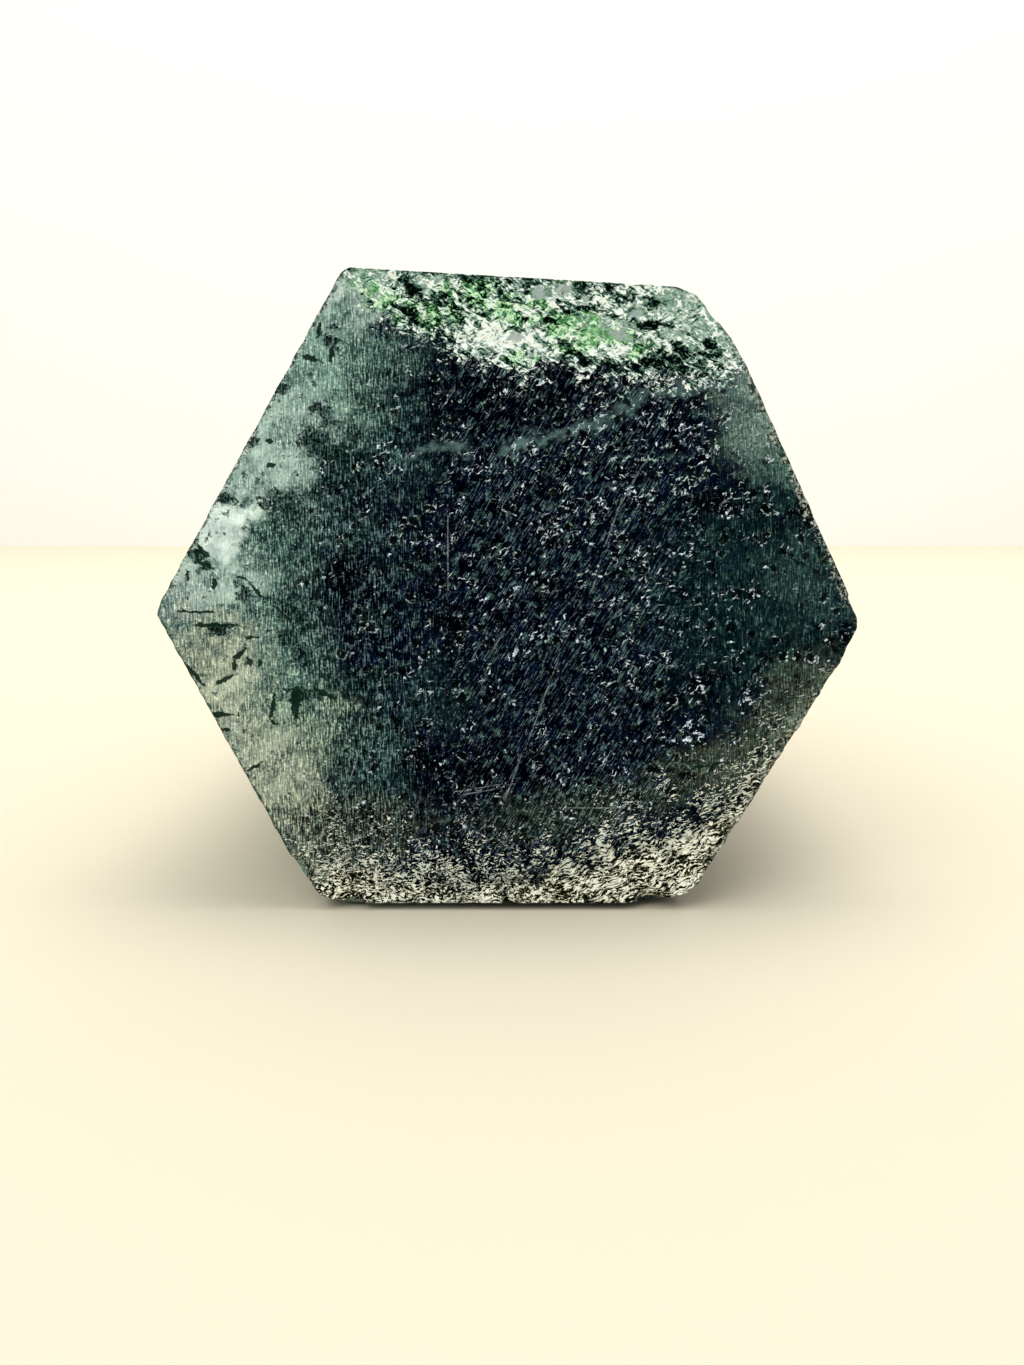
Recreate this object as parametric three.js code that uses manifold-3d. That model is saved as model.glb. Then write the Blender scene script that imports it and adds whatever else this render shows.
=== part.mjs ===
// A hand-cut six-sided stone point that lies on one of its side faces.
//
// The stone is one piece: a six-sided prism that tapers a little towards a six-facet tip, with a
// flat sawn base at its other end. It is cut from a convex blank, its arrises are eased by
// narrow flats, worn corners are planed off, and small chips are scooped out of the base's rim.
//
// Millimetres. In the cutting frame x runs across the base, y along the stone from the base
// (y = 0) to the tip, and z up the base from the edge that the stone lies on. The finished part
// is turned so that its lower side face is level at z = 0, with the base towards -Y and the tip
// towards +Y, and its origin is under the middle of its bounding box.

import * as THREE from 'three';
import { ConvexGeometry } from 'three/addons/geometries/ConvexGeometry.js';
import { mergeVertices } from 'three/addons/utils/BufferGeometryUtils.js';
import Module from 'manifold-3d';

// ---- driving dimensions ---------------------------------------------------------------------

// Corners of the sawn base before wear, as [x, z], clockwise seen from the base.
const baseCorners = {
  topLeft: [-9.73, 38.3],
  topRight: [12.0, 37.05],
  right: [21.33, 17.11],
  bottomRight: [10.67, 0],
  bottomLeft: [-11.5, 0],
  left: [-21.2, 18.15],
};

const axisX = 0.2;                 // the stone's axis crosses the base at this x ...
const axisZ = 18.6;                // ... and this z
const taperDegrees = 2.4;          // lean of the side face that the stone lies on
const tip = { x: 1.0, y: 87.6, z: 19.2 };

// Distance along the stone from the base to the end of each arris, where the tip facets begin.
const arrisLengths = {
  topLeft: 60.6,
  topRight: 62.4,
  right: 61.2,
  bottomRight: 59.8,
  bottomLeft: 61.6,
  left: 62.8,
};

// Depths planed off the sharp edges.
const rimEase = 0.16;              // around the sawn base
const arrisEase = 0.12;            // along the prism
const shoulderEase = 0.1;          // between the side faces and the tip facets
const ridgeEase = 0.1;             // between the tip facets
const tipBlunting = 0.5;           // length lost from the very tip

// The rim is planed up off the floor along its lower edge, at its foot ...
const footRim = { height: 0.45, reach: 2.6 };

// ... and its corners are worn. Each plane takes off what is outside the chord from one point
// of the base to the next, and runs out where the corner's arris has reached the fade length.
const wornCorners = [
  { arris: 'topRight', fade: 9, from: [9.71, 37.19], to: [11.0, 36.64] },
  { arris: 'topRight', fade: 13, from: [11.0, 36.64], to: [13.08, 34.19] },
  { arris: 'topRight', fade: 9, from: [13.08, 34.19], to: [14.16, 32.44] },
  { arris: 'right', fade: 7, from: [21.02, 17.65], to: [19.95, 14.95] },
  { arris: 'bottomRight', fade: 6, from: [11.71, 1.7], to: [10.93, 1.07] },
  { arris: 'bottomRight', fade: 5, from: [10.93, 1.07], to: [9.41, 0.73] },
  { arris: 'bottomLeft', fade: 6, from: [-11.4, 0.94], to: [-12.17, 1.75] },
  { arris: 'bottomLeft', fade: 5, from: [-10.4, 0.61], to: [-11.4, 0.94] },
  { arris: 'left', fade: 6, from: [-20.69, 16.92], to: [-21.0, 17.93] },
  { arris: 'left', fade: 4, from: [-21.0, 17.93], to: [-20.75, 19.35] },
  { arris: 'topLeft', fade: 3, from: [-9.98, 37.9], to: [-9.4, 38.25] },
];

// Chips in the base's rim: the scoop's middle [x, z] on the base and its radii across, along
// and up the stone.
const rimChips = [
  { at: [-15.95, 7.6], radii: [0.55, 0.9, 0.6] },
  { at: [-19.15, 13.2], radii: [0.5, 0.7, 0.7] },
  { at: [-12.75, 2.3], radii: [0.5, 1.1, 0.6] },
  { at: [-9.6, 0.35], radii: [0.9, 0.9, 0.4] },
  { at: [8.6, 0.4], radii: [1.1, 0.8, 0.4] },
  { at: [13.75, 4.55], radii: [0.5, 0.8, 0.7] },
  { at: [17.25, 10.2], radii: [0.45, 0.9, 0.6] },
  { at: [19.5, 13.8], radii: [0.45, 1.1, 0.65] },
  { at: [20.95, 16.45], radii: [0.5, 1.0, 0.7] },
  { at: [12.2, 35.65], radii: [0.5, 0.8, 0.5] },
];

const stoneColour = 0x25372f;      // dark green rock
const stoneRoughness = 0.45;

// ---- the convex blank -----------------------------------------------------------------------

const cornerNames = Object.keys(baseCorners);
const taperLength = axisZ / Math.tan(THREE.MathUtils.degToRad(taperDegrees));
const taperApex = new THREE.Vector3(axisX, taperLength, axisZ);
const tipPoint = new THREE.Vector3(tip.x, tip.y, tip.z);

function basePoint([x, z]) {
  return new THREE.Vector3(x, 0, z);
}

// Every arris runs towards one far point, so that each side face is a true plane.
function arrisPoint(name, length) {
  return basePoint(baseCorners[name]).lerp(taperApex, length / taperLength);
}

const baseRing = cornerNames.map((name) => basePoint(baseCorners[name]));
const shoulderRing = cornerNames.map((name) => arrisPoint(name, arrisLengths[name]));
const middle = new THREE.Vector3(axisX, tip.y / 2, axisZ);

// ---- joining and cutting --------------------------------------------------------------------

const wasm = await Module();
wasm.setup();

function toSolid(geometry) {
  const bare = geometry.clone();
  bare.deleteAttribute('normal');
  bare.deleteAttribute('uv');
  const merged = mergeVertices(bare, 1e-5);
  return new wasm.Manifold(new wasm.Mesh({
    numProp: 3,
    vertProperties: new Float32Array(merged.attributes.position.array),
    triVerts: new Uint32Array(merged.index.array),
  }));
}

function toGeometry(solid) {
  const mesh = solid.getMesh();
  const geometry = new THREE.BufferGeometry();
  geometry.setAttribute('position', new THREE.BufferAttribute(mesh.vertProperties, 3));
  geometry.setIndex(new THREE.BufferAttribute(mesh.triVerts, 1));
  geometry.computeVertexNormals();
  return geometry;
}

// A plane through three points of the stone, facing away from its middle.
function outwardPlane(a, b, c) {
  const plane = new THREE.Plane().setFromCoplanarPoints(a, b, c);
  return plane.distanceToPoint(middle) > 0 ? plane.negate() : plane;
}

// A big block that fills the outer side of a plane near a point of that plane.
function blockOutside(normal, point) {
  const size = 60;
  const block = new THREE.BoxGeometry(size, size, size).translate(0, 0, size / 2);
  const turn = new THREE.Quaternion().setFromUnitVectors(new THREE.Vector3(0, 0, 1), normal);
  return toSolid(block.applyQuaternion(turn).translate(point.x, point.y, point.z));
}

// Eases the edge between two planes by a narrow flat that takes off the given depth.
function easeEdge(solid, planeA, planeB, edgePoint, depth) {
  const normal = planeA.normal.clone().add(planeB.normal).normalize();
  return solid.subtract(blockOutside(normal, edgePoint.clone().addScaledVector(normal, -depth)));
}

const basePlane = outwardPlane(baseRing[0], baseRing[2], baseRing[4]);
const sidePlanes = baseRing.map((corner, i) => outwardPlane(corner, baseRing[(i + 1) % 6], taperApex));
const tipPlanes = shoulderRing.map((p, i) => outwardPlane(p, shoulderRing[(i + 1) % 6], tipPoint));

function easeEdges(blank) {
  let solid = blank;
  for (let i = 0; i < 6; i += 1) {
    const next = (i + 1) % 6;
    const before = (i + 5) % 6;
    const shoulderMiddle = shoulderRing[i].clone().lerp(shoulderRing[next], 0.5);
    const rimMiddle = baseRing[i].clone().lerp(baseRing[next], 0.5);
    const ridgeMiddle = shoulderRing[i].clone().lerp(tipPoint, 0.5);
    solid = easeEdge(solid, sidePlanes[before], sidePlanes[i], baseRing[i], arrisEase);
    solid = easeEdge(solid, basePlane, sidePlanes[i], rimMiddle, rimEase);
    solid = easeEdge(solid, sidePlanes[i], tipPlanes[i], shoulderMiddle, shoulderEase);
    solid = easeEdge(solid, tipPlanes[before], tipPlanes[i], ridgeMiddle, ridgeEase);
  }
  const bluntedAt = tipPoint.clone().setY(tip.y - tipBlunting);
  return solid.subtract(blockOutside(new THREE.Vector3(0, 1, 0), bluntedAt));
}

function wearCorners(blank) {
  const footStart = new THREE.Vector3(-1, 0, footRim.height);
  const footSide = new THREE.Vector3(1, 0, footRim.height);
  const footEnd = arrisPoint('bottomLeft', footRim.reach);
  const foot = outwardPlane(footStart, footSide, footEnd);
  let solid = blank.subtract(blockOutside(foot.normal, footStart));
  for (const { arris, fade, from, to } of wornCorners) {
    const start = basePoint(from);
    const plane = outwardPlane(start, basePoint(to), arrisPoint(arris, fade));
    solid = solid.subtract(blockOutside(plane.normal, start));
  }
  return solid;
}

function chipRim(blank) {
  let solid = blank;
  rimChips.forEach(({ at, radii }, index) => {
    const scoop = new THREE.IcosahedronGeometry(1, 1);
    scoop.rotateX(index).rotateY(2 * index);
    scoop.scale(...radii).translate(at[0], 0, at[1]);
    solid = solid.subtract(toSolid(scoop));
  });
  return solid;
}

// ---- the finished point ---------------------------------------------------------------------

function buildPoint() {
  const blank = toSolid(new ConvexGeometry([...baseRing, ...shoulderRing, tipPoint]));
  const geometry = toGeometry(chipRim(wearCorners(easeEdges(blank))));
  geometry.rotateX(-THREE.MathUtils.degToRad(taperDegrees));
  geometry.computeBoundingBox();
  const { min, max } = geometry.boundingBox;
  geometry.translate(-(min.x + max.x) / 2, -(min.y + max.y) / 2, -min.z);
  return geometry;
}

const stone = new THREE.MeshStandardMaterial({
  color: stoneColour,
  roughness: stoneRoughness,
  metalness: 0,
});

const point = new THREE.Mesh(buildPoint(), stone);
point.name = 'zoisite_point';

const group = new THREE.Group();
group.add(point);

export default group;
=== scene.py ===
"""A hand-cut six-sided stone point, lying on one of its side faces with its sawn base in front.

The base is lapped but unpolished: a pale grey-green wash on the left runs into dark navy-green
rock full of small pale flecks, between a broken green and white crust along the top and a cream
crust along the foot. The side faces and the tip are polished.

Sizes are in millimetres in the stone's cutting frame: u runs across the base, w along the stone
from the base (w = 0) to the tip, and v up the base from the edge that the stone lies on.
"""

import functools
import math

import bpy
from mathutils import Euler, Matrix, Vector


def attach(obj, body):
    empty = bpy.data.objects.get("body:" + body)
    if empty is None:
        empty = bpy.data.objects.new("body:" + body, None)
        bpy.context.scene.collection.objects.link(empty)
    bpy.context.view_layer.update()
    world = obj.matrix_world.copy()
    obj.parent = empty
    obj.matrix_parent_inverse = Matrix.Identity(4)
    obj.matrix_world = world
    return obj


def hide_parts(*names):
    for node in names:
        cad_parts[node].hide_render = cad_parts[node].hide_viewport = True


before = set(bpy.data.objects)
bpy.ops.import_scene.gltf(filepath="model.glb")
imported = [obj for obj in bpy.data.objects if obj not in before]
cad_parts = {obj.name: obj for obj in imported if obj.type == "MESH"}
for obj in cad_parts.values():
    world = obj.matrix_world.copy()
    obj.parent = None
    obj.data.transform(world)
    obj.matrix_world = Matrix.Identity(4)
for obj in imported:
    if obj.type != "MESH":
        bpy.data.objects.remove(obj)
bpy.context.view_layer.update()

MM = 0.001
NODE = "zoisite_point"

# ---- the cut shape, in millimetres ----

BASE_CORNERS = {  # (u, v) of the sawn base before wear
    "bottom_right": (10.67, 0.0),
    "right": (21.33, 17.11),
    "top_right": (12.0, 37.05),
    "top_left": (-9.73, 38.3),
    "left": (-21.2, 18.15),
    "bottom_left": (-11.5, 0.0),
}
ARRIS_LENGTHS = (59.8, 61.2, 62.4, 60.6, 62.8, 61.6)  # of those corners, to the facets of the tip
AXIS_U, AXIS_V = 0.2, 18.6
TAPER = math.radians(2.4)
TAPER_LENGTH = AXIS_V / math.tan(TAPER)
TIP = Vector((1.0, 87.6, 19.2))
TIP_BLUNTING = 0.5
ARRIS_EASE = 0.12  # width taken off the sharp edges
SHIFT = Vector((-0.02, -43.929, -0.008))  # from the levelled cutting frame to the CAD node's place

BLANK_LENGTH = 61.0
BLANK_RADII = (21.0, 18.0)  # at the base and at the shoulders of the tip
BLANK_FIRST_CORNER = math.radians(-100)  # its corners are counted round from just before the foot
BLANK_CUTS = 39  # along every edge of the blank

WORN_CORNERS = (  # from (u, v), to (u, v), the arris it runs out on, how far along
    ((-1.0, 0.45), (1.0, 0.45), "bottom_left", 2.6),  # the whole foot
    ((9.71, 37.19), (11.0, 36.64), "top_right", 9.0),
    ((11.0, 36.64), (13.08, 34.19), "top_right", 13.0),
    ((13.08, 34.19), (14.16, 32.44), "top_right", 9.0),
    ((21.02, 17.65), (19.95, 14.95), "right", 7.0),
    ((11.71, 1.7), (10.93, 1.07), "bottom_right", 6.0),
    ((10.93, 1.07), (9.41, 0.73), "bottom_right", 5.0),
    ((-11.4, 0.94), (-12.17, 1.75), "bottom_left", 6.0),
    ((-10.4, 0.61), (-11.4, 0.94), "bottom_left", 5.0),
    ((-20.69, 16.92), (-21.0, 17.93), "left", 6.0),
    ((-21.0, 17.93), (-20.75, 19.35), "left", 4.0),
    ((-9.98, 37.9), (-9.4, 38.25), "top_left", 3.0),
)

RIM_CHIPS = (  # small chips out of the base's rim: (u, v), radius
    (-15.95, 7.6, 1.0), (-19.15, 13.2, 0.8), (-12.75, 2.3, 1.1), (-9.6, 0.35, 0.9), (8.6, 0.4, 1.1),
    (13.75, 4.55, 0.9), (17.25, 10.2, 1.0), (19.5, 13.8, 1.1), (20.95, 16.45, 1.0), (12.2, 35.65, 0.5),
    (15.4, 7.2, 0.7), (18.5, 12.3, 0.6), (-17.4, 10.2, 0.6), (16.2, 8.7, 0.5),
)

BASE_DEPTH = 0.02  # the sawn face before it is worked reaches this far in
LAPPED_DEPTH = 0.75  # and its relief this far
RIM_WIDTH = 0.5  # crumbled strip around the base
BELOW_TOP_CRUST, ABOVE_FOOT_CRUST = 1.2, 1.0  # how far the finer mesh goes past each crust
COARSE_RIM, FINE_RIM = 1.6, 0.8  # lengths of stone behind the base with finer mesh

SAME_PLACE = 1e-6  # metres; points nearer than this are one point
STANDS_OUT = 1e-4  # millimetres past a lap before a point is pressed back
LEAST_WEIGHT = 0.001
CREASE = math.radians(15)  # sharper edges than this are eased
SMOOTH_UP_TO = math.radians(40)
FACES_OUT = 0.3  # least lean of a face to the saw for it to be lapped

# ---- shape of the stone's zones on the base, in millimetres ----

TOP_CRUST = (  # lower edge of the broken crust along the top, (u, v)
    (-10.5, 37.8), (-9.2, 36.8), (-8.0, 35.9), (-6.8, 35.2), (-5.4, 34.6), (-3.3, 33.7),
    (-0.7, 32.8), (0.9, 32.3), (2.9, 33.2), (3.9, 32.5), (6.9, 32.0), (7.7, 31.9),
    (9.5, 31.7), (11.2, 31.9), (13.1, 32.3), (14.5, 33.6),
)
FOOT_CRUST = (  # upper edge of the cream crust along the foot, (u, v)
    (-14.0, 1.8), (-12.6, 2.6), (-10.7, 3.0), (-8.2, 2.7), (-3.6, 1.8), (1.8, 2.6),
    (4.0, 3.1), (7.8, 4.0), (9.7, 4.3), (11.5, 5.1), (13.4, 6.7), (14.8, 8.1), (16.8, 9.2),
)
VEIN = (  # the pale wisp across the dark rock, (u, v)
    (-5.8, 27.2), (-5.3, 27.7), (-2.0, 27.8), (-0.3, 27.8), (0.5, 28.1), (2.9, 28.6),
    (5.8, 29.5), (8.1, 30.6), (10.9, 31.2), (14.3, 31.8),
)

LINE_REACH, LINE_RISE = 22.0, 40.0  # drawn lines lie within this half width and height
TURN_STEP = 10  # degrees; spots lie at whole steps, so that few axes are needed
SCRATCH_HALF_WIDTH = 0.038

# ---- colours of the rock (linear) ----

BLACK = (0.0007, 0.0014, 0.0018)
NIGHT = (0.0004, 0.001, 0.005)
NAVY = (0.0026, 0.0064, 0.0185)
DEEP_GREEN = (0.0058, 0.0205, 0.0225)
TEAL = (0.015, 0.039, 0.042)
DUSK_GREEN = (0.028, 0.064, 0.06)
MID_GREEN = (0.083, 0.154, 0.134)
CLOUD_GREEN = (0.145, 0.255, 0.21)
WASH_GREEN = (0.225, 0.35, 0.3)
PALE_GREEN = (0.38, 0.52, 0.45)
FROST = (0.42, 0.52, 0.46)
SKY = (0.7, 0.82, 0.75)
OLIVE_PALE = (0.385, 0.435, 0.33)
OLIVE_GREY = (0.22, 0.29, 0.215)
KHAKI = (0.048, 0.064, 0.045)
SMOKE = (0.02, 0.032, 0.025)
ASH = (0.165, 0.245, 0.21)
GLINT = (0.205, 0.29, 0.35)
WISP = (0.1, 0.175, 0.17)
FLECK_GREEN = (0.52, 0.74, 0.62)
FLECK_WHITE = (0.8, 0.93, 0.97)
CLEAVAGE_GREY = (0.36, 0.43, 0.41)
SCRATCH_GREY = (0.3, 0.34, 0.36)
CREAM_CRUMB = (0.8, 0.82, 0.66)
CREAM_STREAK = (0.42, 0.43, 0.33)
RUBY_DARK = (0.034, 0.004, 0.01)
RUBY = (0.13, 0.016, 0.036)
RUBY_PALE = (0.19, 0.055, 0.085)

# dark crystals and skins, and a painted shade for the rim, from the softest to the blackest
CRYSTAL_SHADOW = (0.03, 0.07, 0.056)
CRYSTAL = (0.0042, 0.015, 0.012)
NEEDLE = (0.0035, 0.017, 0.0095)
RUBY_SKIN = (0.005, 0.014, 0.011)
HORNBLENDE = (0.003, 0.0075, 0.007)
RIM_SHADOW = (0.012, 0.03, 0.024)

SPECKLED_LEFT_RIM = ((0.01, 0.026, 0.022), (0.62, 0.68, 0.62))
SPECKLED_RIGHT_RIM = ((0.008, 0.016, 0.013), (0.46, 0.48, 0.4))
LEAF = ((0.03, 0.13, 0.035), (0.2, 0.42, 0.2))
SIDE_FLECK = (0.2, 0.29, 0.25)
CLOUD_SHADE = ((0.52, 0.58, 0.6), (1.44, 1.4, 1.38))  # multiplies the tone below

# the darkest stops of these crust ramps stand partly for painted shade in hollows and creases
WHITE_CRUST = (  # the top crust's colours from its hollows to its flakes: (height, colour)
    (0.37, BLACK), (0.42, (0.01, 0.036, 0.026)), (0.47, (0.075, 0.18, 0.12)),
    (0.56, (0.31, 0.45, 0.37)), (0.65, (0.93, 0.98, 0.91)),
)
GREEN_CRUST = (
    (0.37, BLACK), (0.43, (0.006, 0.04, 0.012)), (0.5, (0.045, 0.19, 0.05)),
    (0.58, (0.19, 0.48, 0.19)), (0.66, (0.62, 0.88, 0.6)),
)
CREAM_CRUST = (
    (0.42, (0.0035, 0.004, 0.0012)), (0.47, (0.026, 0.03, 0.014)),
    (0.51, (0.12, 0.122, 0.06)), (0.55, (0.5, 0.49, 0.33)), (0.59, (1.0, 0.98, 0.82)),
)
SIDE_ROCK = (
    (0.3, NIGHT), (0.37, NAVY), (0.43, DEEP_GREEN), (0.49, DUSK_GREEN),
    (0.55, MID_GREEN), (0.63, CLOUD_GREEN), (0.74, WASH_GREEN), (0.9, FROST),
)

# ---- places on the base and in the stone, in millimetres ----

TONES = (  # broad tones: (u, v, half width, half height, turn in degrees, share, softness, colour)
    (-17.0, 19.0, 8.2, 19.0, 0, 1.0, 0.55, DUSK_GREEN),
    (-17.9, 19.0, 6.4, 18.0, 0, 1.0, 0.5, MID_GREEN),
    (-7.6, 30.2, 3.4, 4.4, 0, 1.0, 0.5, TEAL),
    (-10.8, 31.4, 3.4, 3.6, -20, 0.9, 0.6, CLOUD_GREEN),
    (-11.8, 31.6, 1.9, 1.6, 0, 1.0, 0.5, WASH_GREEN),
    (-13.2, 29.2, 3.0, 2.0, 20, 1.0, 0.35, PALE_GREEN),
    (-14.3, 26.0, 2.8, 1.9, 20, 1.0, 0.5, PALE_GREEN),
    (-9.2, 37.0, 2.2, 2.3, -30, 1.0, 0.3, FROST),
    (-10.6, 34.0, 1.8, 2.6, -30, 0.9, 0.45, WASH_GREEN),
    (-17.0, 20.2, 2.2, 1.6, 0, 1.0, 0.5, PALE_GREEN),
    (-16.9, 23.3, 2.3, 1.4, 40, 1.0, 0.3, SKY),
    (-19.2, 19.0, 2.0, 1.7, 30, 1.0, 0.45, FROST),
    (-17.0, 14.4, 2.9, 3.8, 20, 1.0, 0.45, OLIVE_PALE),
    (-13.9, 8.8, 2.9, 5.2, 20, 1.0, 0.5, OLIVE_PALE),
    (-10.6, 11.4, 2.3, 2.6, 0, 1.0, 0.55, OLIVE_GREY),
    (-8.4, 9.6, 2.6, 3.2, 0, 0.9, 0.6, DUSK_GREEN),
    (-9.8, 5.4, 4.2, 2.0, 0, 0.9, 0.6, KHAKI),
    (-8.6, 16.2, 3.2, 3.6, 0, 1.0, 0.6, NAVY),
    (-10.8, 28.2, 2.0, 1.2, 0, 0.4, 0.5, DEEP_GREEN),
    (-7.2, 32.8, 1.8, 1.6, 0, 0.55, 0.6, MID_GREEN),
    (-13.0, 14.6, 2.2, 3.4, 0, 0.5, 0.7, CLOUD_GREEN),
    (-9.8, 19.6, 1.9, 2.0, 0, 0.9, 0.6, NIGHT),
    (-9.4, 22.6, 2.2, 0.8, 0, 0.5, 0.6, DUSK_GREEN),
    (-12.0, 24.2, 2.0, 1.1, 0, 0.5, 0.6, DEEP_GREEN),
    (-12.4, 18.4, 2.3, 1.9, 0, 0.25, 0.65, DEEP_GREEN),
    (-12.8, 26.3, 1.7, 0.4, 30, 0.9, 0.6, PALE_GREEN),
    (-4.6, 13.0, 2.8, 1.8, 0, 0.5, 0.7, TEAL),
    (-1.0, 8.4, 4.5, 1.6, 0, 1.0, 0.55, NIGHT),
    (0.0, 30.6, 6.5, 1.9, 0, 1.0, 0.6, NIGHT),
    (15.1, 29.9, 2.3, 2.9, 20, 0.95, 0.7, ASH),
    (16.6, 26.4, 1.9, 1.6, 30, 1.0, 0.5, MID_GREEN),
    (15.2, 18.6, 6.0, 5.6, 0, 0.9, 0.6, DEEP_GREEN),
    (18.2, 20.4, 2.4, 2.2, 0, 0.8, 0.6, DUSK_GREEN),
    (16.2, 24.2, 2.7, 0.9, 0, 1.0, 0.45, DEEP_GREEN),
    (16.9, 12.6, 3.6, 2.1, 60, 0.8, 0.5, KHAKI),
    (12.4, 8.8, 4.0, 1.6, 20, 1.0, 0.5, KHAKI),
    (18.0, 11.8, 2.6, 1.1, 60, 0.35, 0.6, OLIVE_GREY),
    (4.0, 6.2, 5.8, 1.5, 10, 1.0, 0.6, SMOKE),
)

NEEDLES = (  # thin dark crystals: (u, v, half length, half width, turn in degrees)
    (-11.5, 33.0, 0.58, 0.17, -20), (-11.1, 34.7, 0.1, 0.42, -10), (-10.4, 33.3, 0.13, 0.4, -10),
    (-14.0, 26.8, 0.24, 0.13, 10), (-14.1, 28.2, 0.18, 0.16, 0), (-18.7, 22.5, 0.34, 0.15, -40),
    (-18.2, 21.75, 0.52, 0.15, -50), (-18.0, 20.9, 0.64, 0.17, -20), (-19.1, 20.2, 0.13, 0.36, 0),
    (-17.5, 19.8, 0.14, 0.4, -10), (-15.9, 20.15, 0.42, 0.1, -20), (-15.1, 19.5, 0.74, 0.11, -50),
    (-18.5, 18.15, 0.95, 0.09, 0), (-17.3, 17.35, 1.3, 0.12, 0), (-15.4, 16.6, 0.36, 0.09, 0),
    (-18.75, 14.35, 0.92, 0.13, -50), (-16.1, 15.55, 0.42, 0.12, 40), (-16.4, 14.9, 0.13, 0.4, 0),
    (-16.8, 14.2, 0.78, 0.11, 30), (-15.5, 15.2, 0.16, 0.26, 20), (-14.85, 15.1, 0.14, 0.24, 0),
    (-14.15, 12.4, 0.17, 0.8, -10), (-14.1, 11.5, 0.36, 0.12, -40), (-12.75, 12.75, 0.26, 1.05, 0),
    (-11.0, 13.2, 0.85, 0.15, -30), (-17.4, 11.95, 0.92, 0.11, 0), (-17.2, 11.05, 0.52, 0.09, 0),
    (-15.2, 8.85, 0.46, 0.09, 30), (-19.9, 15.7, 0.4, 0.11, -60), (1.9, 36.1, 0.8, 0.09, -20),
    (3.4, 35.3, 0.8, 0.08, -30), (4.4, 35.0, 0.4, 0.08, 0), (-7.6, 36.45, 0.85, 0.08, -20),
    (10.3, 33.6, 0.85, 0.13, -40), (12.1, 8.9, 1.3, 0.1, 10), (-8.9, 1.1, 0.65, 0.18, 30),
)
BLOTCHES = (  # places where dark crystals crowd together: (u, v, half width, half height, turn)
    (-10.4, 34.2, 0.6, 0.7, 0), (-14.3, 30.9, 1.3, 0.4, 20), (-10.9, 29.8, 1.0, 0.5, -30),
    (-15.1, 28.5, 0.5, 0.7, 20), (-11.6, 28.3, 0.9, 0.8, 40), (-10.2, 27.3, 1.6, 0.7, -10),
    (-8.9, 28.6, 0.7, 0.6, 0), (-17.0, 24.9, 1.1, 0.35, -10), (-13.6, 24.7, 1.5, 0.7, 10),
    (-15.8, 19.5, 0.5, 0.6, 0), (-17.2, 17.1, 0.9, 0.35, 0), (-13.2, 16.6, 0.8, 0.5, -30),
    (-12.4, 15.4, 0.6, 0.9, 10), (-13.0, 18.0, 1.1, 0.5, -40), (-10.4, 25.9, 0.9, 0.6, 0),
    (-8.2, 17.6, 1.0, 0.9, 0), (-7.6, 14.4, 1.2, 0.6, 10), (-12.6, 13.2, 1.2, 0.5, 0),
    (-18.4, 21.4, 0.5, 1.0, 30), (-9.6, 13.6, 1.4, 0.6, -10),
)
# the first four lie in hollows of the top crust, where their black is painted shade
CLOTS_AND_HOLLOW_SHADE = (  # black clots in the dark rock and in the crusts
    (5.2, 36.9, 0.8, 0.5, 20), (8.4, 36.0, 0.6, 0.35, 20), (8.3, 34.9, 0.8, 0.5, 10),
    (4.0, 33.0, 1.1, 0.5, -20), (15.0, 26.7, 0.7, 0.4, 0), (9.9, 7.5, 0.5, 0.4, 0),
    (10.8, 8.2, 0.5, 0.35, 0), (13.9, 6.1, 0.6, 0.4, 30), (-10.2, 20.4, 1.0, 0.9, 0),
    (-1.9, 8.0, 1.8, 0.9, 0), (9.3, 12.4, 1.3, 0.8, 0), (2.6, 22.6, 0.9, 0.6, 0),
    (12.6, 24.6, 1.6, 0.9, 0), (-5.4, 9.2, 1.5, 1.0, 0), (17.6, 24.0, 1.5, 0.7, -10),
    (6.6, 20.8, 0.5, 0.3, 0), (19.9, 16.3, 0.9, 0.7, 0), (-9.2, 1.0, 0.8, 0.35, 30),
    (2.2, 19.6, 1.2, 0.7, 0), (-3.2, 17.2, 0.8, 0.8, 0), (-8.4, 27.0, 1.0, 0.6, 0),
    (-6.6, 11.4, 1.0, 0.6, 0), (1.0, 30.8, 2.0, 0.8, 0), (12.0, 14.4, 1.0, 0.7, 0),
)
# painted shade: places where the hollows between the flakes of the top crust are darkened
HOLLOW_SHADE_SPOTS = (  # dark hollows between the flakes of the top crust
    (5.2, 36.9, 0.9, 0.45, 20), (8.4, 36.1, 0.5, 0.3, 20), (8.3, 34.9, 0.7, 0.4, 10),
    (4.0, 33.0, 1.1, 0.4, -20), (-5.6, 36.9, 0.6, 0.3, -20), (-4.6, 34.6, 1.4, 0.35, -30),
    (2.6, 35.2, 0.5, 0.2, -30), (-3.0, 35.6, 0.7, 0.3, -40), (10.2, 33.4, 0.9, 0.3, -40),
    (8.0, 32.6, 1.0, 0.5, 0), (5.9, 32.4, 0.8, 0.4, 0), (12.0, 33.6, 0.7, 0.4, -40),
)
SMOOTH_PLACES = (  # pale places in the top crust without flakes
    (-8.7, 37.2, 1.9, 1.1, 0), (5.8, 34.7, 2.2, 0.8, -10), (10.7, 35.9, 2.6, 1.2, -40),
    (12.9, 33.9, 1.0, 1.7, 30), (2.6, 36.9, 1.4, 0.5, 0), (-4.4, 37.4, 1.2, 0.4, 0),
    (8.4, 35.8, 1.5, 0.6, -10), (9.8, 34.2, 1.2, 0.5, -30),
)
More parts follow.
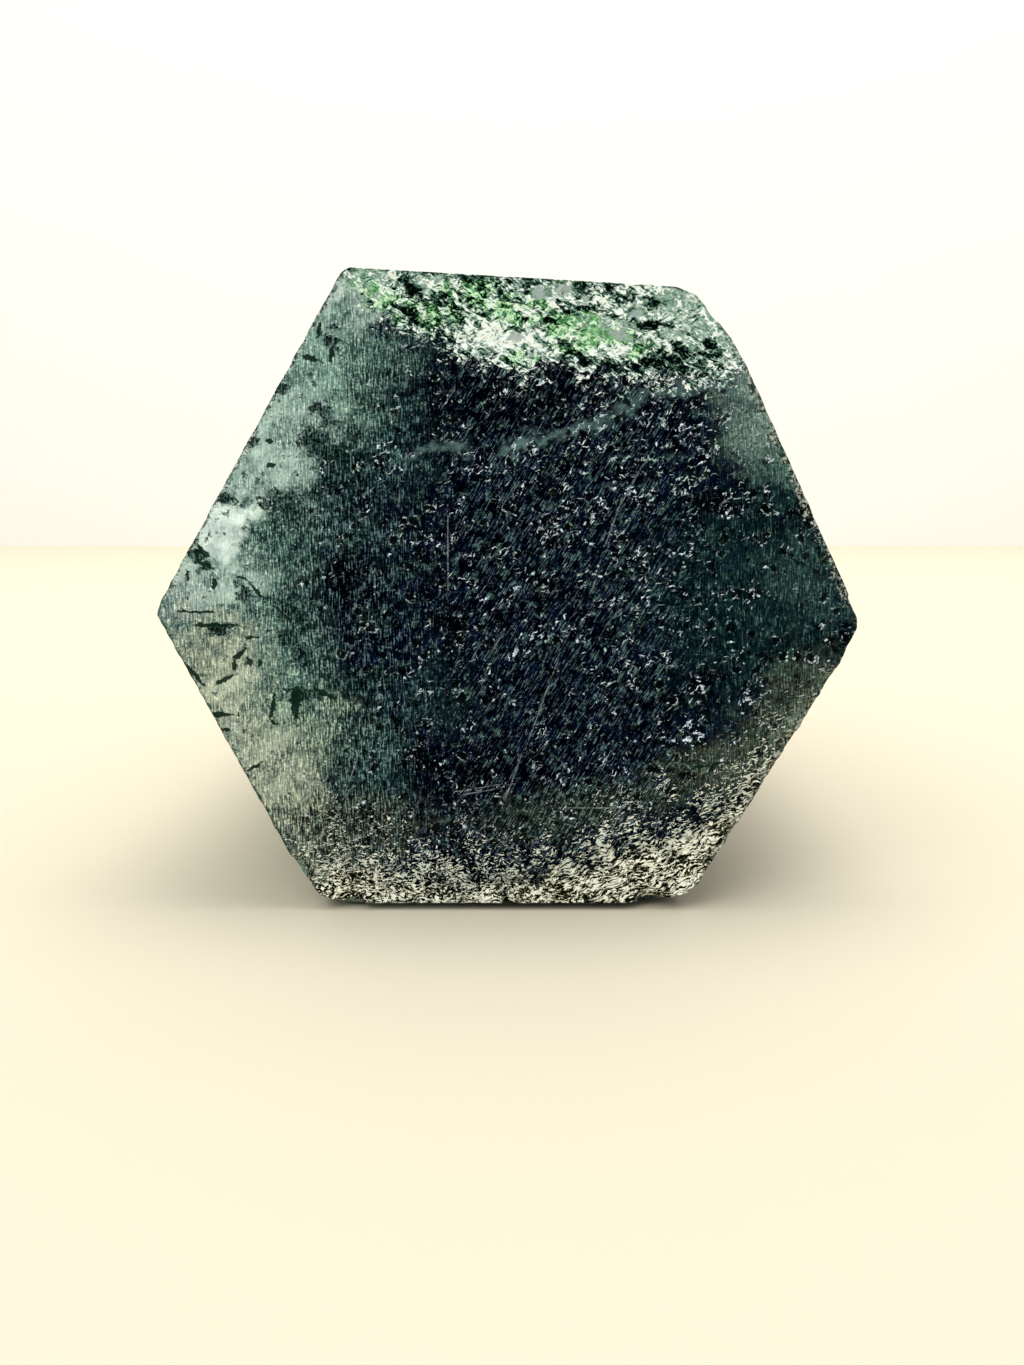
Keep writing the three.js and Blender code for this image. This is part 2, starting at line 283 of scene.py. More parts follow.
GREEN_PLACES = (  # bright green chrome zoisite in the top crust
    (-7.6, 36.3, 2.0, 0.9, -30), (-5.0, 35.6, 1.2, 0.6, -30), (-2.4, 36.6, 2.0, 1.1, 0),
    (0.2, 35.8, 1.8, 0.9, -20), (2.4, 35.3, 1.8, 0.8, -30), (4.6, 34.7, 2.0, 0.8, -20),
    (7.0, 34.2, 1.6, 0.7, -20), (0.6, 33.0, 1.2, 0.4, 0), (3.4, 33.6, 1.0, 0.5, 0),
)
CHIPS = (  # larger pale chips and glints
    (-10.1, 28.4, 0.42, 0.1, 50), (-8.9, 26.7, 0.5, 0.3, 60), (-19.1, 14.2, 0.2, 0.28, 10),
    (-20.45, 16.9, 0.18, 0.22, 0), (-16.3, 9.3, 0.36, 0.26, 10), (-8.1, 20.7, 0.4, 0.16, 30),
    (-7.9, 19.4, 0.3, 0.26, 0), (-6.3, 5.7, 0.4, 0.14, 20), (5.3, 11.2, 0.4, 0.28, 0),
    (3.6, 10.6, 0.24, 0.16, 0), (9.3, 10.5, 0.2, 0.15, 0), (10.7, 10.5, 0.28, 0.3, 0),
    (-12.4, 4.7, 0.36, 0.1, -10), (-8.1, 1.1, 0.7, 0.3, 10), (-13.3, 31.6, 0.55, 0.07, 10),
    (0.6, 26.4, 0.3, 0.12, 40), (3.4, 22.9, 0.5, 0.12, -20), (-4.9, 15.2, 0.22, 0.18, 0),
    (18.3, 22.9, 0.4, 0.24, 60), (19.1, 21.0, 0.5, 0.2, 60), (19.9, 19.0, 0.45, 0.22, 50),
    (16.8, 15.5, 0.22, 0.5, 10), (-7.1, 28.0, 0.3, 0.12, 20), (12.9, 23.6, 0.3, 0.2, 0),
    (0.5, 15.8, 0.5, 0.12, 60), (2.2, 31.6, 0.5, 0.2, 0),
    (-3.0, 30.5, 0.5, 0.2, 20), (-0.8, 22.0, 0.4, 0.1, 0),
)
GREY_FLAKES = (  # flat grey cleavage faces in the top crust
    (1.8, 36.8, 0.36, 0.28, 20), (3.2, 37.0, 0.46, 0.22, 10), (4.5, 36.5, 0.2, 0.3, 0),
    (0.4, 34.2, 0.44, 0.22, -8), (6.6, 34.4, 0.55, 0.3, -10), (7.4, 35.6, 0.35, 0.18, 0),
)
SCRATCHES = (  # from (u, v) to (u, v)
    ((-3.6, 24.0), (-3.6, 19.5)), ((6.6, 24.7), (5.7, 21.7)), ((5.4, 20.5), (4.9, 19.3)),
    ((8.0, 27.1), (6.6, 24.2)), ((-0.4, 16.8), (-1.0, 15.7)), ((3.1, 15.3), (0.9, 9.9)),
    ((0.9, 9.9), (-0.3, 6.5)), ((-2.9, 7.4), (-0.2, 7.7)), ((3.6, 6.2), (7.3, 6.4)),
    ((-8.8, 10.1), (-9.9, 7.1)), ((-2.9, 7.1), (-0.4, 7.5)),
)
RUBIES = (  # patches of ruby on the hidden faces: (u, v, out of the base), radius
    ((-17.5, 25.5, -31.0), 3.4), ((-15.0, 28.5, -36.0), 2.2), ((15.8, 29.0, -47.0), 3.6),
    ((2.0, 37.0, -40.0), 2.8), ((-11.0, 7.0, -55.0), 2.6),
)

# ---- studio, in metres ----

STAGE_SIZE = 6.0
WALL_PLACE = 0.435  # behind the stone
FLOOR_COLOUR = (0.77, 0.665, 0.5)
WALL_COLOUR = (0.86, 0.84, 0.79)
LAMP_COLOUR = (0.93, 0.97, 1.0)
DAYLIGHT, DAYLIGHT_STRENGTH = (0.86, 0.94, 1.0), 0.62
CAMERA_PLACE = (0.00019, -0.13331, 0.02619)
CAMERA_TILT = math.radians(82.211)

# ---- cutting the stone ----


def along(points, place):
    """Height of an open line of points at a place, level past both ends."""
    if place <= points[0][0]:
        return points[0][1]
    for (a, height_a), (b, height_b) in zip(points, points[1:]):
        if place <= b:
            return height_a + (height_b - height_a) * (place - a) / (b - a)
    return points[-1][1]


def arris_point(name, length):
    """Point of an arris at a distance along the stone; all arrises run to one far point."""
    u, v = BASE_CORNERS[name]
    share = length / TAPER_LENGTH
    return Vector((u, 0.0, v)).lerp(Vector((AXIS_U, TAPER_LENGTH, AXIS_V)), share)


def only(piece):
    bpy.ops.object.select_all(action="DESELECT")
    piece.select_set(True)
    bpy.context.view_layer.objects.active = piece


def edit(kind="VERT"):
    bpy.ops.object.mode_set(mode="EDIT")
    bpy.ops.mesh.select_mode(type=kind)


def leave():
    bpy.ops.object.mode_set(mode="OBJECT")


def select_points(piece, test):
    """Selects the vertices that pass a test, and the edges and faces between them."""
    mesh = piece.data
    chosen = [test(point.co / MM) for point in mesh.vertices]
    mesh.vertices.foreach_set("select", chosen)
    for parts in (mesh.edges, mesh.polygons):
        parts.foreach_set("select", [all(chosen[i] for i in part.vertices) for part in parts])
    return any(chosen)


def select_faces(piece, test):
    """Selects only the faces whose centre passes a test."""
    mesh = piece.data
    for parts in (mesh.vertices, mesh.edges):
        parts.foreach_set("select", [False] * len(parts))
    mesh.polygons.foreach_set("select", [test(face.center / MM) for face in mesh.polygons])


def work_faces(piece, test, operator):
    select_faces(piece, test)
    edit("FACE")
    operator()
    leave()


def drag(piece, test, way, **settings):
    select_points(piece, test)
    edit()
    bpy.ops.transform.translate(value=way, **settings)
    leave()


def move_point(piece, index, target):
    start = piece.data.vertices[index].co.copy()
    drag(piece, lambda co: (co * MM - start).length < SAME_PLACE, target * MM - start)


def corner_ring(piece, far_end):
    """The corners of one end of the blank, in the order of BASE_CORNERS."""
    def turn(index):
        co = piece.data.vertices[index].co / MM
        return (math.atan2(co.z - AXIS_V, co.x - AXIS_U) - BLANK_FIRST_CORNER) % math.tau

    halfway = BLANK_LENGTH / 2 * MM
    return sorted((p.index for p in piece.data.vertices if (p.co.y > halfway) == far_end), key=turn)


def cut_blank():
    """A six-sided cone whose corners are moved to the stone's own, poked out to the tip."""
    near_radius, far_radius = BLANK_RADII
    bpy.ops.object.select_all(action="DESELECT")
    bpy.ops.mesh.primitive_cone_add(
        vertices=len(BASE_CORNERS), radius1=near_radius * MM, radius2=far_radius * MM,
        depth=BLANK_LENGTH * MM, end_fill_type="NGON",
        location=(AXIS_U * MM, BLANK_LENGTH / 2 * MM, AXIS_V * MM), rotation=(-math.pi / 2, 0, 0))
    bpy.ops.object.transform_apply()
    stone = bpy.context.object
    stone.name = "polished_point"

    corners = zip(BASE_CORNERS, ARRIS_LENGTHS, corner_ring(stone, False), corner_ring(stone, True))
    for name, length, near, far in corners:
        move_point(stone, near, arris_point(name, 0.0))
        move_point(stone, far, arris_point(name, length))

    work_faces(stone, lambda co: co.y > 0.9 * BLANK_LENGTH, bpy.ops.mesh.poke)
    move_point(stone, len(stone.data.vertices) - 1, TIP)
    work_faces(stone, lambda co: co.y < BASE_DEPTH, bpy.ops.mesh.poke)
    return stone


def rim_distance(co):
    """How far inside the nearest side face a point of the base is."""
    names = list(BASE_CORNERS)
    distances = []
    for name, following in zip(names, names[1:] + names[:1]):
        (u1, v1), (u2, v2) = BASE_CORNERS[name], BASE_CORNERS[following]
        length = math.hypot(u2 - u1, v2 - v1)
        distances.append(((u1 - co.x) * (v2 - v1) - (v1 - co.z) * (u2 - u1)) / length)
    return min(distances)


def needs_fine_mesh(co):
    """The two crusts and the rim, where the relief is deep."""
    on_top = co.z > along(TOP_CRUST, co.x) - BELOW_TOP_CRUST
    at_foot = co.z < along(FOOT_CRUST, co.x) + ABOVE_FOOT_CRUST
    return co.y < FINE_RIM and (on_top or at_foot or rim_distance(co) < 2 * RIM_WIDTH)


def flatten_outside(piece, normal, point):
    """Presses what stands outside a plane onto it, as a lap takes it off."""
    reach = normal.dot(point)
    if not select_points(piece, lambda co: normal.dot(co) > reach + STANDS_OUT):
        return
    across = normal.orthogonal().normalized()
    lap = Matrix((across, normal.cross(across), normal)).transposed()
    edit()
    bpy.ops.transform.resize(
        value=(1.0, 1.0, 0.0), orient_type="GLOBAL", orient_matrix=lap,
        orient_matrix_type="GLOBAL", constraint_axis=(False, False, True),
        center_override=point * MM)
    leave()


def wear(piece):
    """Planes off the foot of the rim, the worn corners and the very tip."""
    middle = Vector((AXIS_U, 30.0, AXIS_V))
    for start, end, arris, reach in WORN_CORNERS:
        a, b = Vector((start[0], 0.0, start[1])), Vector((end[0], 0.0, end[1]))
        normal = (b - a).cross(arris_point(arris, reach) - a).normalized()
        if normal.dot(middle - a) > 0:
            normal.negate()
        flatten_outside(piece, normal, a)
    flatten_outside(piece, Vector((0.0, 1.0, 0.0)), TIP - Vector((0.0, TIP_BLUNTING, 0.0)))


def weights(piece, name, amount):
    """A vertex group whose weight at each point is given by a rule."""
    group = piece.vertex_groups.new(name=name)
    for point in piece.data.vertices:
        share = amount(point.co / MM)
        if share > LEAST_WEIGHT:
            group.add([point.index], min(1.0, share), "REPLACE")
    return group.name


def relief(piece, group, texture, depth, direction):
    """Lets a texture push the surface of one zone in."""
    push = piece.modifiers.new(texture.name, "DISPLACE")
    push.texture = texture
    push.texture_coords = "LOCAL"
    push.vertex_group = group
    push.direction = direction
    push.mid_level = 0.0
    push.strength = depth * MM
    only(piece)
    bpy.ops.object.modifier_apply(modifier=push.name)


def crumbs(name, size):
    texture = bpy.data.textures.new(name, "VORONOI")
    texture.noise_scale = size * MM
    texture.weight_1 = -1.0
    texture.weight_2 = 1.0
    texture.noise_intensity = 1.3
    return texture


def clouds(name, size, depth=2):
    texture = bpy.data.textures.new(name, "CLOUDS")
    texture.noise_scale = size * MM
    texture.noise_depth = depth
    return texture


def on_base(co):
    return 1.0 if co.y < BASE_DEPTH else 0.0


def top_crust_share(co):
    return on_base(co) * (co.z - along(TOP_CRUST, co.x) + 0.3) / 0.8


def foot_crust_share(co):
    return on_base(co) * (along(FOOT_CRUST, co.x) + 0.4 - co.z) / 1.2


def polish_share(co):
    """None just behind the base, full from 3.6 mm on."""
    return (co.y - 0.6) / 3.0


def rim_share(co):
    """The rim of the base, full on the edge itself and none RIM_WIDTH away."""
    if co.y > 1.0:
        return 0.0
    return (1.0 - rim_distance(co) / RIM_WIDTH) * (1.0 - co.y)


def left_rim_share(co):
    return rim_share(co) if co.x < -9.0 else 0.0


def right_rim_share(co):
    """Worn most along the lower right edge."""
    if co.x < 11.0:
        return 0.0
    return rim_share(co) * (1.0 if co.z < 19.0 else 0.4)


def chip_rim(piece):
    """Drags small hollows into the rim of the base, towards the inside of the stone."""
    for u, v, radius in RIM_CHIPS:
        place = Vector((u, 0.0, v))
        inward = (Vector((AXIS_U, 0.0, AXIS_V)) - place).normalized() + Vector((0.0, 0.7, 0.0))
        drag(piece, lambda co: (co - place).length < 0.3 + 0.1 * radius, inward * 0.42 * radius * MM,
             use_proportional_edit=True, proportional_edit_falloff="SMOOTH",
             proportional_size=0.8 * radius * MM)


def ease_arrises(piece):
    """Divides the blank finely, then takes the sharpness off its edges."""
    edit("EDGE")
    bpy.ops.mesh.select_all(action="SELECT")
    bpy.ops.mesh.subdivide(number_cuts=BLANK_CUTS)
    bpy.ops.mesh.select_all(action="DESELECT")
    bpy.ops.mesh.edges_select_sharp(sharpness=CREASE)
    bpy.ops.mesh.bevel(offset=ARRIS_EASE * MM, segments=2, clamp_overlap=False)
    leave()


def make_stone():
    stone = cut_blank()
    ease_arrises(stone)
    work_faces(stone, lambda co: co.y < COARSE_RIM, bpy.ops.mesh.subdivide)
    work_faces(stone, needs_fine_mesh, bpy.ops.mesh.subdivide)
    wear(stone)
    top = weights(stone, "top_crust", top_crust_share)
    foot = weights(stone, "foot_crust", foot_crust_share)
    base = weights(stone, "lapped_base", on_base)
    left = weights(stone, "left_rim", left_rim_share)
    right = weights(stone, "right_rim", right_rim_share)
    polish = weights(stone, "polished_sides", polish_share)
    relief(stone, top, crumbs("broken_crust", 0.7), 0.55, "Y")
    relief(stone, foot, crumbs("crumbling_foot", 0.55), 0.35, "Y")
    relief(stone, base, clouds("lapping", 1.4), 0.05, "Y")
    relief(stone, left, clouds("worn_left", 0.8), 0.22, "X")
    relief(stone, right, clouds("worn_right", 0.8), -0.45, "X")
    chip_rim(stone)
    relief(stone, polish, clouds("hand_polish", 9.0, 1), -0.08, "NORMAL")
    return stone


def put_in_frame(piece):
    """Leans the stone so that its lower side face lies level, and centres it on its CAD node."""
    only(piece)
    piece.rotation_euler.x = -TAPER
    bpy.ops.object.transform_apply()
    piece.location = SHIFT * MM
    bpy.ops.object.transform_apply()


# ---- mixing the finishes ----


class Brush:
    """Adds shader nodes and links them, so that a finish reads as a list of steps.

    It holds the colour so far, and the places and grains that a finish's layers share.
    """

    def __init__(self, name):
        self.material = bpy.data.materials.new(name)
        self.material.use_nodes = True
        self.tree = self.material.node_tree
        self.shader = self.tree.nodes["Principled BSDF"]
        turn = TAPER - math.pi / 2
        shift = Euler((turn, 0, 0)).to_matrix() @ SHIFT
        place = self.add("TexCoord", {}, "Object")
        # across, up and out of the base, in millimetres
        place = self.add("Mapping", {
            "Vector": place, "Location": -shift, "Rotation": (turn, 0, 0), "Scale": (1000, 1000, 1000)})
        self.place = self.vector("ADD", place, (0.0, 0.0, 0.0))
        self.turned_places = {}
        self.colour = None
        self.u = self.part(self.place, "X")
        self.v = self.part(self.place, "Y")
        self.out = self.part(self.place, "Z")

    def add(self, kind, feeds, output=0, **settings):
        node = self.tree.nodes.new("ShaderNode" + kind)
        for name, value in settings.items():
            setattr(node, name, value)
        for socket, value in feeds.items():
            if isinstance(value, bpy.types.NodeSocket):
                self.tree.links.new(value, node.inputs[socket])
            else:
                node.inputs[socket].default_value = value
        return node.outputs[output]

    def part(self, vector, axis):
        return self.add("SeparateXYZ", {0: vector}, axis)

    def math(self, operation, *values, clamp=False):
        return self.add("Math", dict(enumerate(values)), operation=operation, use_clamp=clamp)

    def times(self, one, other):
        return self.math("MULTIPLY", one, other)

    def plus(self, one, other, clamp=False):
        return self.math("ADD", one, other, clamp=clamp)

    def minus(self, one, other):
        return self.math("SUBTRACT", one, other)

    def vector(self, operation, *values):
        output = "Value" if operation in ("LENGTH", "DOT_PRODUCT") else 0
        return self.add("VectorMath", dict(enumerate(values)), output, operation=operation)

    def spread(self, value, low, high, bottom=0.0, top=1.0, steps="LINEAR"):
        return self.add("MapRange", {
            "Value": value, "From Min": low, "From Max": high, "To Min": bottom, "To Max": top},
            interpolation_type=steps)

    def smooth(self, *limits):
        return self.spread(*limits, steps="SMOOTHSTEP")

    def centred(self, noise, amount, start=0.0):
        """Adds a noise's swing about its middle to a start value."""
        return self.math("MULTIPLY_ADD", self.minus(noise, 0.5), amount, start)

    def away(self, value, middle):
        return self.math("ABSOLUTE", self.minus(value, middle))

    def vein(self, noise, middle, width):
        """Thin lines where a noise passes a middle value."""
        return self.smooth(self.away(noise, middle), width, width / 3)

    def fold(self, operation, values):
        """Puts several values together, one after another."""
        return functools.reduce(lambda held, value: self.math(operation, held, value), values)

    def grey(self, value):
        return self.add("CombineColor", {0: value, 1: value, 2: value})

    def inset(self, start, end):
        """Distance in from one edge of the base, named by its two corners."""
        (u1, v1), (u2, v2) = BASE_CORNERS[start], BASE_CORNERS[end]
        length = math.hypot(u2 - u1, v2 - v1)
        side = ((v1 - v2) / length, (u2 - u1) / length)
        reach = side[0] * u1 + side[1] * v1
        across = self.vector("DOT_PRODUCT", self.place, (side[0], side[1], 0.0))
        return self.away(across, reach)

    def noise(self, where, scale, detail=2.0, roughness=0.5, output="Fac"):
        return self.add("TexNoise", {
            "Vector": where, "Scale": scale, "Detail": detail, "Roughness": roughness}, output)

    def cells(self, where, scale, output="Distance"):
        return self.add("TexVoronoi", {"Vector": where, "Scale": scale}, output, voronoi_dimensions="2D")

    def scattered(self, where, turn, length, width, size, kept):
        """Separate slim grains lying one way, each with a strength of its own, few of them kept."""
        grain = self.grain(where, turn, length, width)
        body = self.smooth(self.cells(grain, 1.0), size, 0.6 * size)
        own = self.cells(grain, 1.0, "Color")
        strength = self.smooth(self.shade(own), 1.0 - kept, 1.0, 0.0, 1.0)
        strength = self.times(strength, self.smooth(self.shade(own, "Red"), 0.0, 1.0, 0.5, 1.0))
        return self.times(body, strength)

    def mix(self, share, below, above, blend="MIX"):
        below, above = (side if isinstance(side, bpy.types.NodeSocket) else (*side, 1.0)
                        for side in (below, above))
        return self.add("Mix", {0: share, 6: below, 7: above}, 2, data_type="RGBA", blend_type=blend)

    def coat(self, share, colour, blend="MIX"):
        """Lays a colour over what is there."""
        self.colour = self.mix(share, self.colour, colour, blend)

    def blend(self, share, below, above):
        return self.add("Mix", {0: share, 2: below, 3: above}, 0, data_type="FLOAT")

    def shade(self, colour, channel="Green"):
        return self.add("SeparateColor", {0: colour}, channel)

    def ramp(self, value, stops):
        """A colour for each value, from (value, colour) stops."""
        socket = self.add("ValToRGB", {"Fac": value})
        elements = socket.node.color_ramp.elements
        elements[0].position, elements[0].color = stops[0][0], (*stops[0][1], 1.0)
        elements[1].position, elements[1].color = stops[-1][0], (*stops[-1][1], 1.0)
        for position, colour in stops[1:-1]:
            elements.new(position).color = (*colour, 1.0)
        return socket

    def shifted(self, where, scale, amount):
        """The place moved about by a soft noise, so that outlines wander."""
        drift = self.noise(where, scale, 2.0, output="Color")
        drift = self.add("CombineXYZ", {
            "X": self.shade(drift, "Red"), "Y": self.shade(drift), "Z": self.shade(drift, "Blue")})
        start = self.vector("ADD", where, (-amount / 2, -amount / 2, -amount / 2))
        return self.vector("MULTIPLY_ADD", drift, (amount, amount, amount), start)

    def grain(self, where, turn, along_grain, across_grain):
        """The place squeezed across one direction, for streaks that run along it (degrees from u)."""
        return self.add("Mapping", {
            "Vector": where, "Rotation": (0, 0, math.radians(turn)),
            "Scale": (along_grain, across_grain, 0.5 * (along_grain + across_grain))},
            vector_type="TEXTURE")

    def turned(self, where, turn):
        """The place in axes turned about the base's own direction, made once for each turn."""
        key = (where.node.name, turn)
        if key not in self.turned_places:
            c, s = math.cos(math.radians(turn)), math.sin(math.radians(turn))
            self.turned_places[key] = self.add("CombineXYZ", {
                "X": self.vector("DOT_PRODUCT", where, (c, s, 0.0)),
                "Y": self.vector("DOT_PRODUCT", where, (-s, c, 0.0))})
        return self.turned_places[key]

    def spot(self, where, u, v, half_length, half_width, turn=0.0):
        """Distance from a place on the base, in units of an ellipse's own size."""
        turn = TURN_STEP * round(turn / TURN_STEP)
        c, s = math.cos(math.radians(turn)), math.sin(math.radians(turn))
        along_it, across_it = u * c + v * s, v * c - u * s
        local = self.vector(
            "MULTIPLY_ADD", self.turned(where, turn), (1 / half_length, 1 / half_width, 0.0),
            (-along_it / half_length, -across_it / half_width, 0.0))
        return self.vector("LENGTH", local)

    def spots(self, where, ellipses):
        return self.fold("MINIMUM", (self.spot(where, *ellipse) for ellipse in ellipses))

    def line(self, points):
        """Height in millimetres of a drawn line above each place across the base."""
        across = self.spread(self.u, -LINE_REACH, LINE_REACH)
        socket = self.add("FloatCurve", {"Factor": 1.0, "Value": across})
        curve = socket.node.mapping.curves[0]
        curve.points[0].location = (0.0, points[0][1] / LINE_RISE)
        curve.points[1].location = (1.0, points[-1][1] / LINE_RISE)
        for u, v in points:
            curve.points.new((u + LINE_REACH) / (2 * LINE_REACH), v / LINE_RISE)
        for point in curve.points:
            point.handle_type = "AUTO"
        socket.node.mapping.update()
        return self.times(socket, LINE_RISE)

    def finish(self):
        self.tree.links.new(self.colour, self.shader.inputs["Base Color"])


def strokes(lines, half_width):
    """Each line from one place to another, as a long thin ellipse."""
    ellipses = []
    for (u1, v1), (u2, v2) in lines:
        half = math.hypot(u2 - u1, v2 - v1) / 2
        turn = math.degrees(math.atan2(v2 - v1, u2 - u1))
        ellipses.append(((u1 + u2) / 2, (v1 + v2) / 2, half, half_width, turn))
    return ellipses


# ---- the lapped base ----


def base_tones(b):
    """Navy rock under the broad tones, with ragged borders."""
    ragged = b.centred(b.patchy, 2.2, b.centred(b.lap, 0.9))
    b.colour = b.mix(b.smooth(b.patchy, 0.42, 0.56), NIGHT, NAVY)
    for *ellipse, share, softness, tone in TONES:
        distance = b.plus(b.spot(b.wide, *ellipse), ragged)
        b.coat(b.smooth(distance, 1.0 + softness, 1.0 - softness, 0.0, share), tone)


def wisp_share(b):
    """The pale wisp, fainter on the right and broken once."""
    wisp = b.minus(b.part(b.near, "Y"), b.line(VEIN))
    wisp = b.math("ABSOLUTE", b.centred(b.patchy, 3.2, wisp))
    wisp = b.smooth(wisp, 0.62, 0.0)
    inside = b.times(b.smooth(b.u, -6.8, -5.0), b.smooth(b.u, 15.0, 13.0))
    inside = b.times(inside, b.smooth(b.u, 2.5, 6.0, 1.0, 0.6))
    gap = b.smooth(b.spot(b.place, -1.4, 27.9, 1.3, 2.0), 0.5, 1.1)
    return b.times(b.times(wisp, inside), gap)


def dark_crystals(b):
    """Dark crystals crowd together in places, and black clots lie in the dark rock; the same black is
    painted as shade in four hollows of the top crust.
    """
    dark = b.plus(b.crowd, b.smooth(b.spots(b.near, BLOTCHES), 1.6, 0.3, 0.0, 0.19))
    dark = b.centred(b.lap, 0.3, dark)
    b.coat(b.smooth(dark, 0.54, 0.64, 0.0, 0.55), CRYSTAL_SHADOW)
    b.coat(b.smooth(dark, 0.62, 0.645, 0.0, 0.93), CRYSTAL)
    clots = b.noise(b.near, 1.0, 4.0, 0.7)
    black = b.plus(clots, b.smooth(b.spots(b.near, CLOTS_AND_HOLLOW_SHADE), 1.5, 0.3, 0.0, 0.16))
    black = b.times(b.smooth(black, 0.57, 0.625), b.spread(b.paleness, 0.0, 0.6, 1.0, 0.0))
    b.coat(b.times(black, 0.92), BLACK)


def lapping_scatter(b):
    """Lapping marks and grains scatter the tone, widely in the dark rock and little in the pale."""
    scatter = b.centred(b.lap, 8.4, b.centred(b.fine, 4.8, b.centred(b.crowd, 3.8, -0.28)))
    reach = b.math("POWER", b.spread(b.math("SQRT", b.shade(b.colour)), 0.28, 0.85, 1.0, 0.0), 1.5)
    reach = b.math("MULTIPLY_ADD", reach, 1.28, 0.1)
    reach = b.times(reach, b.smooth(b.u, 9.0, 13.0, 1.0, 0.64))
    reach = b.times(reach, b.smooth(b.u, -5.0, -9.0, 1.0, 1.25))
    scatter = b.math("MINIMUM", b.times(scatter, reach), 1.6)
    factor = b.math("EXPONENT", scatter)
    # streaks turn greyer where they are pale, and bluer where they are dark
    streaky = b.add("CombineColor", {
        0: b.math("EXPONENT", b.times(scatter, 1.15)), 1: factor,
        2: b.math("EXPONENT", b.times(scatter, 0.92))})
    b.coat(1.0, streaky, "MULTIPLY")
    b.coat(b.smooth(factor, 1.6, 7.0, 0.0, 0.52), GLINT)


def fleck_density(b, clusters):
    """How thickly the pale flecks lie: most in the upper right, least in the wash and by the foot."""
    thick = b.smooth(b.spot(b.wide, 8.8, 29.2, 5.8, 3.4, 10), 1.4, 0.5, 0.0, 0.13)
    density = b.plus(clusters, thick)
    for place, start, end, below, above in (
            (b.u, -13.0, 2.0, -0.1, 0.0), (b.u, 10.0, 16.0, 0.0, -0.08), (b.v, 10.0, 4.0, 0.0, -0.05)):
        density = b.plus(density, b.smooth(place, start, end, below, above))
    crinkled = b.smooth(b.spot(b.wide, 14.6, 29.2, 1.8, 3.0), 1.4, 0.5, 0.0, 0.1)
    density = b.plus(density, crinkled)
    bare = b.math("MINIMUM", b.spot(b.wide, 0.5, 30.8, 5.5, 1.8), b.spot(b.wide, 3.0, 11.5, 6.5, 3.6))
    return b.minus(density, b.smooth(bare, 1.3, 0.5, 0.0, 0.07))


def pale_flecks(b):
    """Small pale flecks: thin curved chips and ragged specks. Beside them black is painted as the shade
    inside each small pit, with a painted highlight round its rim.
    """
    clusters = b.noise(b.place, 0.5, 3.0, 0.6)
    density = fleck_density(b, clusters)
    b.specks = b.noise(b.close, 4.0, 3.0, 0.7)
    limit = b.spread(density, 0.35, 0.65, 0.755, 0.638)
    # the larger pale chips, with painted glints at some of them
    chips = b.smooth(b.spots(b.near, CHIPS), 1.4, 0.4, 0.0, 0.18)
    fleck_and_highlight = b.smooth(b.minus(b.plus(b.specks, chips), limit), 0.0, 0.035)
    bent = b.shifted(b.place, 2.2, 0.55)
    slivers = b.fold("MAXIMUM", (
        b.scattered(bent, turn, length, 0.16, 0.23, kept)
        for turn, length, kept in ((42, 0.98, 0.17), (4, 0.86, 0.12), (78, 0.7, 0.1))))
    slivers = b.times(slivers, b.smooth(density, 0.42, 0.58, 0.1, 1.5))
    crescent = b.vein(b.noise(b.grain(bent, 35, 0.68, 0.42), 1.0, 2.0, 0.6), 0.5, 0.045)
    gate = b.plus(b.noise(b.place, 1.6, 2.0, 0.6), b.spread(density, 0.35, 0.65, -0.06, 0.06))
    crescent = b.times(crescent, b.smooth(gate, 0.625, 0.68, 0.0, 0.9))
    pit = b.cells(b.near, 1.15)
    chosen = b.smooth(b.shade(b.cells(b.near, 1.15, "Color")), 0.74, 0.78)
    # painted highlight: a thin pale rim round each chosen pit
    pit_rim_highlight = b.times(b.vein(pit, 0.34, 0.09), chosen)
    pit_rim_highlight = b.times(pit_rim_highlight, b.smooth(b.specks, 0.54, 0.64, 0.0, 0.8))
    fleck_and_highlight = b.fold("MAXIMUM", (fleck_and_highlight, crescent, pit_rim_highlight))
    fleck_and_highlight = b.plus(fleck_and_highlight, slivers, clamp=True)
    fleck_and_highlight = b.times(fleck_and_highlight, b.smooth(b.fine, 0.36, 0.54, 0.35, 1.0))
    fleck_and_highlight = b.times(fleck_and_highlight, b.spread(b.paleness, 0.0, 1.0, 1.0, 0.55))
    # painted shade: black inside each chosen pit, with no hollow in the surface
    pit_shade = b.times(b.smooth(pit, 0.3, 0.22), chosen)
    b.coat(b.times(pit_shade, b.spread(b.paleness, 0.0, 0.6, 0.9, 0.0)), BLACK)
    b.coat(fleck_and_highlight, b.mix(b.smooth(clusters, 0.44, 0.56), FLECK_GREEN, FLECK_WHITE))


